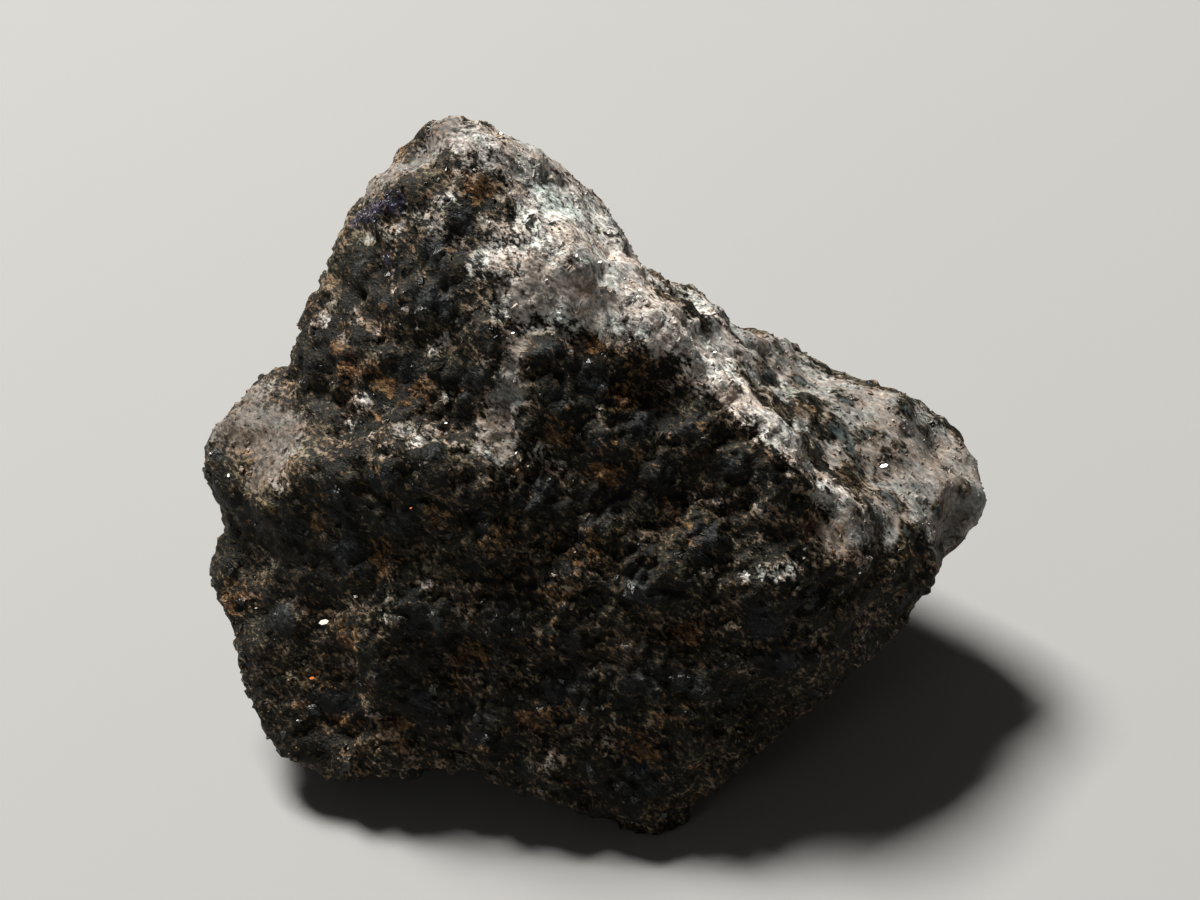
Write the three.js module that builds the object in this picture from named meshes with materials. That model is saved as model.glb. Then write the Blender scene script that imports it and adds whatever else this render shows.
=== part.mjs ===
// A raw lump of iolite rock, about 37 mm across: a broken, unpolished piece of dark granular stone with one
// leaning peak, a blunt crest that runs down from it to the right, a low shelf behind the crest, a ledge on
// the left, and a front that drops steeply to three small flat feet.
//
// The stone is one piece, so it is one closed mesh. Its surface is a grid of rays from one point inside, the
// heart. How far each ray reaches comes from three things: a cage of named corners, which gives the main
// faces, edges and hollows; a few named lumps and pits; and small seeded chips and grains all over.
//
// Millimetres. X runs to the right and Z up as the stone is seen from the front, and -Y faces the viewer.
// The origin of the finished stone is on the ground below the middle of its box.

import * as THREE from "three";
import { ConvexHull } from "three/addons/math/ConvexHull.js";
import { mergeVertices } from "three/addons/utils/BufferGeometryUtils.js";

// Driving dimensions
const HEART = new THREE.Vector3(-0.5, 1.5, 8.5); // every part of the surface can be seen from here
const STAND = new THREE.Vector3(-0.07, -2.57, 0); // moves the middle of the stone's box over the origin
const GRID_STEPS = 28; // steps along each side of the six-sided grid of rays
const EDGE_SOFTNESS = 0.052; // radians over which the cage's edges are blunted

// The cage: where the stone's main corners are. Each name says which feature the corner belongs to.
const CAGE = {
  peak: [
    [-7.1, 10.5, 28.0],
    [-5.1, 10.2, 26.8],
    [-8.4, 10.0, 26.0],
  ],
  leftShoulder: [
    [-9.5, 9.7, 24.7],
    [-10.9, 8.9, 23.3],
    [-11.6, 7.9, 21.8],
    [-13.2, 6.4, 19.2],
  ],
  shoulderBevel: [
    [-7.7, 8.1, 26.2],
    [-8.8, 7.3, 24.9],
    [-10.9, 7.1, 23.0],
  ],
  shoulderNotch: [
    [-13.7, 4.6, 16.8],
    [-13.6, 6.6, 15.4],
    [-13.6, 8.6, 14.1],
  ],
  upperLeftFace: [
    [-7.4, 6.0, 24.2],
    [-9.2, 3.2, 20.6],
    [-5.6, 2.0, 21.0],
    [-12.6, 2.1, 16.8],
    [-8.8, 0.6, 17.8],
    [-5.1, -0.6, 17.6],
  ],
  crest: [
    [-3.8, 7.5, 25.9],
    [-1.4, 3.8, 23.7],
    [0.0, 2.7, 22.5],
    [2.1, 2.1, 21.7],
    [4.8, 1.0, 20.5],
    [6.5, 0.5, 19.5],
    [8.4, -0.7, 17.6],
    [10.1, -1.6, 15.9],
    [12.2, -2.2, 14.2],
  ],
  crestBack: [
    [-3.3, 10.6, 25.8],
    [0.0, 9.8, 23.3],
    [2.6, 8.8, 20.3],
    [5.1, 8.7, 17.9],
  ],
  valley: [
    [7.2, 6.6, 17.0],
    [9.6, 3.6, 15.6],
    [11.1, 1.6, 14.4],
    [12.8, 0.0, 13.3],
  ],
  shelf: [
    [8.3, 9.7, 15.4],
    [11.7, 9.1, 13.3],
    [14.5, 8.7, 12.9],
    [16.8, 7.4, 12.3],
    [14.0, 4.6, 13.1],
    [18.1, 5.6, 11.7],
    [19.3, 3.4, 10.6],
    [18.8, 2.3, 10.0],
    [15.4, -0.1, 11.3],
  ],
  rib: [
    [-3.3, 1.3, 21.0],
    [-4.0, -1.2, 17.3],
  ],
  hollow: [
    [0.7, 1.5, 19.8],
    [3.9, 0.3, 18.4],
    [0.3, -1.3, 16.9],
    [7.0, -1.8, 16.0],
  ],
  leftLedge: [
    [-15.8, 5.2, 15.5],
    [-18.5, 4.3, 14.4],
    [-18.5, 3.0, 12.9],
    [-18.2, 1.5, 12.2],
    [-15.2, 1.9, 14.7],
  ],
  brow: [
    [-13.9, -1.0, 14.1],
    [-11.0, -1.5, 15.3],
    [-7.4, -2.0, 16.3],
    [-4.2, -2.7, 16.0],
    [0.3, -3.7, 14.1],
    [4.8, -4.7, 12.9],
    [8.0, -5.1, 12.3],
    [12.0, -3.6, 12.2],
  ],
  leftSide: [
    [-17.7, 1.2, 10.5],
    [-18.1, -0.5, 8.3],
    [-17.2, -1.8, 6.9],
    [-17.0, -4.1, 4.3],
    [-15.9, -5.7, 3.0],
    [-14.8, -6.5, 2.4],
  ],
  frontFace: [
    [-13.5, -3.5, 9.6],
    [-8.8, -4.9, 10.9],
    [-4.2, -5.9, 10.6],
    [0.3, -6.6, 9.5],
    [4.8, -6.9, 9.0],
    [8.9, -6.0, 8.8],
    [-9.8, -6.7, 6.3],
    [-5.2, -7.7, 6.0],
    [-0.2, -8.5, 5.5],
    [3.9, -8.8, 5.0],
  ],
  frontFoot: [
    [-13.2, -7.3, 1.6],
    [-11.4, -8.0, 1.7],
    [-7.7, -8.2, 3.6],
    [-5.5, -8.4, 3.4],
    [-2.2, -9.3, 2.3],
    [1.1, -10.0, 1.5],
    [3.3, -10.2, 1.3],
    [6.0, -9.2, 2.3],
    [7.1, -8.5, 3.9],
  ],
  lowerRightFace: [
    [10.7, -5.0, 10.7],
    [8.2, -6.7, 7.3],
    [16.5, -1.0, 8.6],
    [14.9, -2.6, 7.3],
    [13.1, -4.1, 5.9],
    [11.4, -5.6, 4.6],
    [9.0, -6.6, 3.8],
  ],
  back: [
    [-7.0, 13.0, 21.5],
    [-11.2, 11.5, 17.5],
    [-15.2, 8.8, 11.5],
    [-12.6, 11.7, 11.5],
    [-6.0, 14.2, 14.5],
    [0.5, 13.0, 18.0],
    [5.5, 13.2, 12.5],
    [-1.0, 14.5, 10.5],
    [9.5, 12.6, 9.5],
    [13.8, 11.0, 9.0],
    [16.9, 7.8, 8.3],
  ],
  lowerBack: [
    [-16.2, 4.5, 7.0],
    [-14.5, 8.0, 5.0],
    [-9.5, 12.5, 5.5],
    [-2.0, 13.8, 5.0],
    [5.5, 12.8, 4.5],
    [11.5, 9.8, 4.5],
    [15.9, 4.5, 6.0],
  ],
  underside: [
    [-13.5, -4.5, -0.6],
    [-9.5, -5.5, -0.6],
    [-13.5, 1.5, 1.6],
    [-6.5, -5.0, 1.4],
    [-1.0, -7.8, 0.3],
    [2.0, -8.5, -0.8],
    [4.5, -7.0, -0.6],
    [8.0, -3.5, 2.2],
    [-6.0, 3.0, 0.8],
    [3.0, 0.0, 0.9],
    [12.0, 0.5, 4.2],
    [-10.0, 8.5, 0.8],
    [-5.0, 10.0, -0.8],
    [1.0, 10.0, -0.9],
    [5.0, 8.0, -0.5],
    [9.5, 6.0, 2.6],
  ],
};

// Lumps and pits that stand out on their own: the middle, how wide, and how high (a pit is below zero).
const BUMPS = [
  { at: [-5.6, 0.9, 19.2], width: 1.7, height: 0.9 }, // dark knob beside the rib
  { at: [-2.9, 1.5, 21.6], width: 1.0, height: -0.9 }, // pit at the rib's head
  { at: [-10.2, 0.2, 17.2], width: 1.6, height: -0.8 }, // notch above the ledge
  { at: [-12.6, -0.6, 15.0], width: 1.5, height: 0.6 },
  { at: [-8.6, -1.8, 16.2], width: 1.7, height: 0.7 },
  { at: [-5.2, -2.3, 16.3], width: 1.5, height: 0.6 },
  { at: [2.6, 0.9, 19.8], width: 1.6, height: -0.4 }, // dark hollow under the crest
  { at: [-1.4, 3.8, 23.7], width: 1.4, height: 0.35 }, // where the rib runs into the crest
  { at: [3.6, 2.2, 21.6], width: 1.4, height: 0.4 },
  { at: [8.9, 3.6, 16.2], width: 1.5, height: -0.6 },
  { at: [13.4, 5.6, 12.9], width: 2.4, height: 0.6 },
  { at: [-18.0, -0.4, 8.2], width: 1.6, height: 0.9 }, // knob low on the left side
  { at: [-17.8, 1.0, 10.6], width: 1.3, height: -0.6 },
  { at: [-9.8, -6.2, 7.4], width: 2.2, height: 0.5 },
  { at: [2.2, -9.2, 3.6], width: 1.7, height: -0.5 }, // dimple above the front foot
  { at: [1.6, -7.8, 7.6], width: 2.6, height: 0.4 },
  { at: [7.6, -5.2, 12.3], width: 1.5, height: 0.6 }, // small ledge at the right end of the brow
  { at: [-4.0, 13.2, 18.5], width: 3.0, height: -1.0 }, // scoops and swellings of the back
  { at: [2.8, 13.2, 14.5], width: 2.6, height: 0.8 },
  { at: [-9.5, 12.6, 13.0], width: 3.2, height: -0.9 },
  { at: [-4.5, 14.2, 9.0], width: 3.0, height: 0.7 },
  { at: [8.5, 12.4, 9.0], width: 3.0, height: -0.9 },
  { at: [-13.0, 9.5, 7.5], width: 2.4, height: 0.6 },
  { at: [14.5, 7.5, 7.0], width: 2.4, height: -0.7 },
];

// Chips are shallow scoops left by breaking; grains are small rounded swellings. Both cover the stone.
const CHIPS = { count: 230, seed: 11, spread: 0.6, bend: 0.09, strength: 0.9 };
const GRAINS = { count: 800, seed: 29, spread: 0.3, bend: 0.14, strength: 0.6 };

const STONE_COLOUR = 0x3b3a35;

// A repeatable stream of numbers from 0 to 1.
function randomFrom(seed) {
  let state = seed >>> 0;
  return () => {
    state = (state + 0x6d2b79f5) >>> 0;
    let t = Math.imul(state ^ (state >>> 15), 1 | state);
    t = (t + Math.imul(t ^ (t >>> 7), 61 | t)) ^ t;
    return ((t ^ (t >>> 14)) >>> 0) / 4294967296;
  };
}

// The cage's faces. Seen from the heart the corners are points on a ball, and the ball's hull joins neighbours.
// Each face keeps the matrix that turns a direction into shares of its three corners.
function cageFaces() {
  const directions = Object.values(CAGE)
    .flat()
    .map((corner) => {
      const fromHeart = new THREE.Vector3(...corner).sub(HEART);
      const direction = fromHeart.clone().normalize();
      direction.corner = fromHeart;
      return direction;
    });
  return new ConvexHull().setFromPoints(directions).faces.map((face) => {
    const [a, b, c] = [face.getEdge(0), face.getEdge(1), face.getEdge(2)].map((edge) => edge.head().point.corner);
    return new THREE.Matrix3().set(a.x, b.x, c.x, a.y, b.y, c.y, a.z, b.z, c.z).invert();
  });
}

const faces = cageFaces();

// How far the cage is from the heart along a direction. The face that the ray goes through is the one whose
// smallest corner share is largest; the shares of a point on it add up to 1, which gives the reach.
function cageReach(direction) {
  let best = -Infinity;
  let reach = 0;
  for (const face of faces) {
    const shares = direction.clone().applyMatrix3(face);
    const least = Math.min(shares.x, shares.y, shares.z);
    if (least > best) {
      best = least;
      reach = 1 / (shares.x + shares.y + shares.z);
    }
  }
  return reach;
}

// The cage with its edges blunted: the mean of its reach along the direction and six others close round it.
function bluntReach(direction) {
  const ring = 6;
  const side = new THREE.Vector3(-direction.y, direction.x, 0.3).cross(direction).normalize();
  let sum = cageReach(direction);
  for (let i = 0; i < ring; i += 1) {
    const turned = side.clone().applyAxisAngle(direction, (i * 2 * Math.PI) / ring);
    sum += cageReach(turned.multiplyScalar(EDGE_SOFTNESS).add(direction).normalize());
  }
  return sum / (ring + 1);
}

// Seeded points spread evenly over the stone's surface: a spiral round the ball, shaken a little.
function scatter({ count, seed, spread }) {
  const random = randomFrom(seed);
  const golden = Math.PI * (3 - Math.sqrt(5));
  return Array.from({ length: count }, (_, i) => {
    const z = 1 - (2 * i + 2 * random()) / count;
    const turn = i * golden + (random() * 4) / Math.sqrt(count);
    const ring = Math.sqrt(Math.max(0, 1 - z * z));
    const direction = new THREE.Vector3(ring * Math.cos(turn), ring * Math.sin(turn), z).normalize();
    const point = direction.clone().multiplyScalar(cageReach(direction)).add(HEART);
    return { point, level: (random() * 2 - 1) * spread };
  });
}

const chips = scatter(CHIPS);
const grains = scatter(GRAINS);

// Chips: each is a shallow bowl, and the lowest bowl wins, so sharp rims are left between them.
function chipDepth(point) {
  const bowl = (chip) => chip.level + CHIPS.bend * point.distanceToSquared(chip.point);
  return CHIPS.strength * Math.min(...chips.map(bowl), CHIPS.spread);
}

// Grains: each is a small dome, and the highest dome wins, so there are creases between them.
function grainHeight(point) {
  const dome = (grain) => grain.level - GRAINS.bend * point.distanceToSquared(grain.point);
  return GRAINS.strength * Math.max(...grains.map(dome), -GRAINS.spread);
}

function bumpHeight(point) {
  return BUMPS.reduce((sum, { at, width, height }) => {
    const away = point.distanceTo(new THREE.Vector3(...at)) / width;
    return sum + height * Math.exp(-away * away);
  }, 0);
}

// Where the surface is along a direction. A ray that would pass below the ground stops on it, so the lowest
// parts of the stone are flat feet.
function surfacePoint(direction) {
  const smooth = bluntReach(direction);
  const point = direction.clone().multiplyScalar(smooth).add(HEART);
  const reach = smooth + chipDepth(point) + grainHeight(point) + bumpHeight(point);
  const surface = direction.clone().multiplyScalar(reach).add(HEART);
  if (surface.z >= 0) return surface;
  return direction.clone().multiplyScalar(HEART.z / -direction.z).add(HEART).setZ(0);
}

// The rays go through the corners of the cells on the six sides of a box, bent so that they are evenly spaced
// as seen from its middle.
function gridOfRays() {
  const box = new THREE.BoxGeometry(2, 2, 2, GRID_STEPS, GRID_STEPS, GRID_STEPS);
  box.deleteAttribute("normal");
  box.deleteAttribute("uv");
  const grid = mergeVertices(box, 1e-5);
  const corners = grid.getAttribute("position");
  const even = (value) => Math.tan((value * Math.PI) / 4);
  const rays = Array.from({ length: corners.count }, (_, i) =>
    new THREE.Vector3(even(corners.getX(i)), even(corners.getY(i)), even(corners.getZ(i))).normalize(),
  );
  return { rays, cells: Array.from(grid.getIndex().array) };
}

// Each four-sided cell is split in two along the diagonal that passes closer to the surface in the middle of
// the cell, so that the crest and the ledges aren't cut into teeth.
function stoneGeometry() {
  const { rays, cells } = gridOfRays();
  const points = rays.map(surfacePoint);
  const triangles = [];
  for (let i = 0; i < cells.length; i += 6) {
    const [a, b, d, , c] = cells.slice(i, i + 6);
    const middle = surfacePoint(rays[a].clone().add(rays[b]).add(rays[c]).add(rays[d]).normalize());
    const miss = (p, q) => points[p].clone().lerp(points[q], 0.5).distanceTo(middle);
    if (miss(b, d) < miss(a, c)) triangles.push(a, b, d, b, c, d);
    else triangles.push(a, b, c, a, c, d);
  }
  const geometry = new THREE.BufferGeometry().setFromPoints(points);
  geometry.setIndex(triangles);
  geometry.computeVertexNormals();
  return geometry;
}

const stone = new THREE.Mesh(
  stoneGeometry(),
  new THREE.MeshStandardMaterial({ color: STONE_COLOUR, roughness: 0.75, metalness: 0, flatShading: true }),
);
stone.name = "iolite_stone";
stone.position.copy(STAND);

const model = new THREE.Group();
model.add(stone);

export default model;
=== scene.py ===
# %% [markdown]
# # A raw iolite stone
# The real thing is a broken, unpolished lump of rock, about 37 mm across. Dark glassy grains of iolite and
# quartz sit among frosty grey ones, pinkish feldspar, rust-stained grains and small flakes of mica. The
# packed solid already has the lump's own shape. This lesson gives it what is too small for that solid: the
# broken relief of its skin, and the grains that stand out of it.

# %% Load the packed solid
import itertools

import bpy
import numpy as np
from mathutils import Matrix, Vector
from mathutils.bvhtree import BVHTree


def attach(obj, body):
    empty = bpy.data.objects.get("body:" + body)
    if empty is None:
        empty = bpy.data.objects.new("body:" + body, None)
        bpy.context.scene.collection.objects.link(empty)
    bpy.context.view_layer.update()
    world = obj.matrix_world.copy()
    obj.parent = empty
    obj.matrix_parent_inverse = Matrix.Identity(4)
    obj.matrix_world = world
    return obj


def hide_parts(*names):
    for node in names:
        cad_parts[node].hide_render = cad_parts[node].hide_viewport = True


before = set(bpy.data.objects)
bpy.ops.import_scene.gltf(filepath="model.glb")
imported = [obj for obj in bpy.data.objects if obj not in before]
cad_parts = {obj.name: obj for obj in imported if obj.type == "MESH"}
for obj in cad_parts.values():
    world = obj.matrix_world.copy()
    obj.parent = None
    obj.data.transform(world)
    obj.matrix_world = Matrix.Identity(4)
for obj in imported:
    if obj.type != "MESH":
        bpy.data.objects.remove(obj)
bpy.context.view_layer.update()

NODE = "iolite_stone"
MM = 0.001  # a millimetre in Blender's metres: lengths below are in millimetres unless they say otherwise

# %% [markdown]
# ## The camera
# The photograph was taken from close by, looking down at about 40 degrees. A camera is a place, a tilt and
# a lens. The place was found by matching the stone's outline, its feet and the far tip of its shelf. The
# same three also say which ray runs through a pixel of the photograph, and that lets later cells put a pale
# patch or a rusty spot where it is seen, by asking where that ray meets the stone.

# %% Set up the camera and the rays through the photograph's pixels
PHOTO_SIZE = np.array([1200, 900])
SENSOR_WIDTH = 36.0  # mm
CAMERA_PLACE = np.array([0.21, -100.57, 97.9])
CAMERA_TILT = np.radians(50)  # turned up from looking straight down
FOCUS_DISTANCE = 130.0  # mm
WIDTH_IN_FOCUS = 55.56  # mm, how wide a view the picture takes in at that distance
lens = SENSOR_WIDTH * FOCUS_DISTANCE / WIDTH_IN_FOCUS

camera_data = bpy.data.cameras.new("camera")
camera_data.lens = lens
camera_data.sensor_width = SENSOR_WIDTH
camera_data.clip_start = 5 * MM
camera = bpy.data.objects.new("camera", camera_data)
camera.location = CAMERA_PLACE * MM
camera.rotation_euler = (CAMERA_TILT, 0, 0)
bpy.context.collection.objects.link(camera)
bpy.context.scene.camera = camera


def unit(rows):
    """Each row made one long."""
    return rows / np.linalg.norm(rows, axis=1, keepdims=True)


def ray_through(pixels):
    """Unit directions from the camera through pixels: their places on the sensor, turned up by the tilt."""
    across, down = ((np.asarray(pixels, float) - PHOTO_SIZE / 2) * SENSOR_WIDTH / PHOTO_SIZE[0]).T
    turn_cos, turn_sin = np.cos(CAMERA_TILT), np.sin(CAMERA_TILT)
    rays = np.stack([across, lens * turn_sin - down * turn_cos, -lens * turn_cos - down * turn_sin], -1)
    return unit(rays)


print("lens in mm:", round(lens, 1))

# %% [markdown]
# ## The stone's shape as a table
# The solid's surface was made with rays from one point inside it, the heart. The rays run through the cell
# corners of a box's six sides, bent so that they are evenly spaced. So the whole shape is six square tables
# that say how far each ray reaches. Reading the packed corners back into such tables is better than
# smoothing the mesh: a table can be resampled as finely as we like, and its rows and columns join up at the
# box's edges without a seam.

# %% Number the corners of a box's six sides
HEART = np.array([-0.57, -1.07, 8.5])
SOLID_STEPS = 28
SIDES = [(axis, sign) for axis in range(3) for sign in (1, -1)]
SHEET_MARGIN = 0.01


def box_lattice(steps):
    """Corners and four-sided faces of a box whose sides are cut into steps x steps cells, facing outwards.

    Corners are whole numbers from 0 to steps. Returns them once each, the faces as corner numbers, for each
    side the corner numbers of its (steps + 1) squared grid, and where each face's corners are on a flat
    sheet. The sheet holds the six sides in two rows of three, with a narrow margin round each.
    """
    first, second = np.meshgrid(np.arange(steps + 1), np.arange(steps + 1), indexing="ij")
    grids = np.zeros((len(SIDES), steps + 1, steps + 1, 3), int)
    for side, (axis, sign) in enumerate(SIDES):
        grids[side, ..., axis] = steps if sign > 0 else 0
        grids[side, ..., (axis + 1) % 3] = first
        grids[side, ..., (axis + 2) % 3] = second
    corners, numbers = np.unique(grids.reshape(-1, 3), axis=0, return_inverse=True)
    numbers = numbers.reshape(len(SIDES), steps + 1, steps + 1)
    faces, flat_places = [], []
    for side, (axis, sign) in enumerate(SIDES):
        own = np.stack([first, second], -1) / steps * (1 - 2 * SHEET_MARGIN) + SHEET_MARGIN
        sheet = (own + (side % 3, side // 3)) / (3, 2)
        for grid, rows in ((numbers[side], faces), (sheet, flat_places)):
            ring = [grid[:-1, :-1], grid[1:, :-1], grid[1:, 1:], grid[:-1, 1:]]
            rows.append(np.stack(ring[::sign], 2).reshape(steps * steps, 4, -1))
    return corners, np.concatenate(faces)[..., 0], numbers, np.concatenate(flat_places)


print("corners of a box of one cell a side:", len(box_lattice(1)[0]))

# %% Read the solid into six tables of reaches
EDGE_SLOPE = 1.001  # a ray's slope off its side's axis is 1 at the box's edge, and a little slack is left


def corners_of(thing):
    """A mesh object's corners in millimetres, one row each."""
    flat = np.empty(len(thing.data.vertices) * 3)
    thing.data.vertices.foreach_get("co", flat)
    return flat.reshape(-1, 3) / MM


def reach_tables(points, steps):
    """One table a side: row and column are the ray's two angles off the side's axis, counted in steps."""
    rays = points - HEART
    tables = np.zeros((len(SIDES), steps + 1, steps + 1))
    misfit = 0.0
    for side, (axis, sign) in enumerate(SIDES):
        depth = rays[:, axis] * sign
        slopes = [rays[:, (axis + k) % 3] / np.maximum(depth, 1e-9) for k in (1, 2)]
        here = (depth > 0) & (np.maximum(np.abs(slopes[0]), np.abs(slopes[1])) < EDGE_SLOPE)
        row, column = [(np.arctan(slope[here]) * 4 / np.pi + 1) / 2 * steps for slope in slopes]
        whole_row, whole_column = np.rint(row).astype(int), np.rint(column).astype(int)
        misfit = max(misfit, np.abs(row - whole_row).max(), np.abs(column - whole_column).max())
        tables[side, whole_row, whole_column] = np.linalg.norm(rays[here], axis=1)
    return tables, misfit


tables, misfit = reach_tables(corners_of(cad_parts[NODE]), SOLID_STEPS)
print("shortest and longest ray:", tables.min().round(2), tables.max().round(2))
print("worst misfit in steps:", round(misfit, 4))

# %% [markdown]
# ## A finer skin
# Between the solid's corners the skin is a smooth curve through four neighbours at a time: a cubic whose
# slope at a corner is that of the line between the two corners beside it. It passes through every corner of
# the solid, where a Subdivision Surface modifier would pull the edges in, and it leaves no flat facets. The
# weights of that cubic fit in one matrix, and two matrix products resample a whole side at once.

# %% Resample the tables
FINE_STEPS = 126  # cells along each side: the skin then stays under 200,000 triangles


def smooth_weights(coarse, fine):
    """Matrix from coarse + 1 samples to fine + 1: cubic weights of four neighbours, straight at the ends."""
    at = np.linspace(0, coarse, fine + 1)
    cell = np.minimum(at.astype(int), coarse - 1)
    t = at - cell
    cubic = [-t + 2 * t**2 - t**3, 2 - 5 * t**2 + 3 * t**3, t + 4 * t**2 - 3 * t**3, t**3 - t**2]
    weights = np.zeros((fine + 1, coarse + 3))
    for k in range(4):
        weights[np.arange(fine + 1), cell + k] = cubic[k] / 2
    weights[:, 1] += 2 * weights[:, 0]
    weights[:, 2] -= weights[:, 0]
    weights[:, -2] += 2 * weights[:, -1]
    weights[:, -3] -= weights[:, -1]
    return weights[:, 1:-1]


def ray_directions(corners, steps):
    """Unit rays through a box lattice's corners: tan of an even angle on the two axes across the side."""
    bent = np.tan((corners / steps * 2 - 1) * np.pi / 4)
    return unit(bent)


corners, skin_faces, side_corners, skin_sheet = box_lattice(FINE_STEPS)
weights = smooth_weights(SOLID_STEPS, FINE_STEPS)
reach = np.zeros(len(corners))
for side, table in enumerate(tables):
    reach[side_corners[side]] = weights @ table @ weights.T
smooth_skin = HEART + ray_directions(corners, FINE_STEPS) * reach[:, None]
smooth_skin[:, 2] = np.maximum(smooth_skin[:, 2], 0)
print("skin corners:", len(smooth_skin), "triangles:", 2 * len(skin_faces))

# %% Outward normals and a way to find the stone behind a pixel
def outward_normals(points, faces):
    """Each corner's normal: the sum of the crossed diagonals of the faces round it, made one long."""
    a, b, c, d = (points[faces[:, k]] for k in range(4))
    crossed = np.cross(c - a, d - b)
    normals = np.zeros_like(points)
    for k in range(4):
        np.add.at(normals, faces[:, k], crossed)
    return unit(normals)


target = BVHTree.FromPolygons(smooth_skin.tolist(), skin_faces.tolist())


def on_stone(pixels):
    """Where the rays through the photograph's pixels first meet the stone. A ray that misses is left out."""
    hits = [target.ray_cast(Vector(CAMERA_PLACE), Vector(ray))[0] for ray in ray_through(pixels)]
    return np.array([hit for hit in hits if hit is not None], float)


skin_normals = outward_normals(smooth_skin, skin_faces)
print("the photograph's middle pixel is at", on_stone([(600, 450)]).round(1))

# %% [markdown]
# ## Numbers out of nowhere
# Broken rock has no pattern, yet the script must give the same stone each time. Numbers drawn one after
# another would do for a list of grains, but relief needs numbers that belong to a place. So space is cut
# into cubes, and each cube's whole-number place is stirred into a few fixed but patternless numbers. From
# them come soft patches, by blending the eight corners round a point, and small flat faces, by giving each
# cube a point with a tilted plane.

# %% Make seeded noise
def cube_numbers(cubes, salt, count):
    """`count` numbers from 0 to 1 a cube: its place is multiplied by large primes and its bits are mixed."""
    places = np.moveaxis(cubes.astype(np.int64).astype(np.uint32), -1, 0)
    mixed = np.uint32(salt * 7919)
    for place, prime in zip(places, (73856093, 19349663, 83492791)):
        mixed = mixed ^ place * np.uint32(prime)
    numbers = []
    for _ in range(count):
        mixed = (mixed ^ (mixed >> 16)) * np.uint32(0x7FEB352D)
        mixed = (mixed ^ (mixed >> 15)) * np.uint32(0x846CA68B)
        mixed = mixed ^ (mixed >> 16)
        numbers.append(mixed / 2**32)
        mixed = mixed + np.uint32(0x9E3779B9)
    return np.stack(numbers, -1)


def soft_patches(points, cell, salt):
    """Smooth noise from 0 to 1: the numbers at the eight corners of the cube round a point, blended."""
    base = np.floor(points / cell)
    part = points / cell - base
    part = part * part * (3 - 2 * part)
    total = np.zeros(len(points))
    for corner in itertools.product((0, 1), repeat=3):
        share = np.prod(np.where(corner, part, 1 - part), axis=1)
        total += share * cube_numbers(base + corner, salt, 1)[:, 0]
    return total


def broken_faces(points, cell, tilt, step, bulge, salt, sharp=14):
    """Relief of small faces, two numbers alike all over a face, and how far off its middle a point is.

    Each cube holds a point with a face through it: tipped by up to `tilt` on each axis, up or down by up to
    `step` mm, and bulging by `bulge` times the squared distance (hollow where that is negative). A face's
    weight is exp(-sharp * squared distance in cells), so the nearest point's face rules, and borders are
    short ramps. The logarithm of the weights' total gives back the squared distance, near 0 in the middle
    and 0.4 at a border.
    """
    base = np.floor(points / cell)
    total = np.zeros((len(points), 4))
    for offset in itertools.product((-1, 0, 1), repeat=3):
        numbers = cube_numbers(base + offset, salt, 9)
        away = points - (base + offset + numbers[:, :3]) * cell
        apart = (away**2).sum(1)
        lean = (numbers[:, 3:6] * 2 - 1) * tilt
        height = (lean * away).sum(1) + (numbers[:, 6] * 2 - 1) * step - bulge * apart
        weight = np.exp(-sharp * apart / cell**2)
        columns = [np.ones(len(points)), height, numbers[:, 7], numbers[:, 8]]
        total += weight[:, None] * np.stack(columns, -1)
    relief = total[:, 1] / total[:, 0]
    return relief - relief.mean(), *(total[:, 2:] / total[:, :1]).T, -np.log(total[:, 0]) / sharp


print("soft patches run from", soft_patches(smooth_skin, 4.0, 1).min().round(2), "up")

# %% [markdown]
# ## Where each mineral shows
# The crest, the shelf behind it and the ledge on the left are pale, the front is dark, rust stains gather
# in spots, and the blue-violet of iolite shows in two places near the peak. The shares of the minerals
# could be painted on by hand, but a list of places can be read and changed. Each place is a pixel of the
# photograph and a size on the stone. A point's share of a mineral falls off with its distance from these
# places, as a bell curve does, and noise breaks up the edges. On the side that the photograph doesn't show,
# noise decides, and faces that look up get more of the pale patches. Each place also has a weight for each
# share: how much paler, more beige or calmer it makes the stone. A calm place is smoother and more of one
# colour, as the ledge is, where the feldspar broke evenly. A few lists are painted light and shade, not
# minerals: painted shade just under the crest's lip, a painted highlight along the pale crest strip and on
# a small ledge of the front, and painted light that makes the stone brighter at some of its pale places.

# %% Name the places, as pixel x, pixel y and width in mm
CREST = [
    (447, 122, 1.0), (470, 132, 1.1), (500, 150, 1.3), (530, 175, 1.6), (556, 205, 1.9), (580, 232, 2.1),
    (606, 262, 2.3), (636, 286, 2.0), (664, 312, 1.9), (690, 340, 1.8), (716, 366, 1.6), (742, 394, 1.5),
    (768, 424, 1.3), (794, 452, 1.2), (822, 480, 1.1), (850, 506, 1.1), (540, 285, 2.0), (575, 300, 1.8),
    (610, 305, 1.5), (515, 262, 1.4), (512, 318, 0.9), (524, 146, 1.6), (560, 172, 1.8), (596, 206, 1.8),
    (632, 246, 1.8), (662, 280, 1.6), (694, 306, 1.5), (726, 324, 1.4), (672, 292, 1.3), (704, 314, 1.2),
    (860, 524, 1.1), (842, 538, 0.8),
]
RIB = [(516, 345, 0.8), (512, 372, 0.8), (504, 400, 0.9), (496, 428, 1.0), (500, 455, 0.9)]
# partly a paler mineral, partly painted light: these places are made brighter in colour
BRIGHT_MINERAL_AND_PAINTED_LIGHT = [
    (540, 285, 1.3), (575, 300, 1.3), (560, 260, 1.3), (605, 300, 1.3), (620, 250, 1.5), (650, 290, 1.4),
    (680, 322, 1.2), (705, 350, 1.1), (730, 378, 1.0), (752, 402, 0.9), (774, 428, 0.8), (798, 455, 0.8),
    (824, 482, 0.7), (570, 215, 1.3), (530, 310, 0.8), (590, 320, 0.8), (288, 445, 0.8), (268, 425, 0.6),
    (264, 476, 0.5),
]
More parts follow.
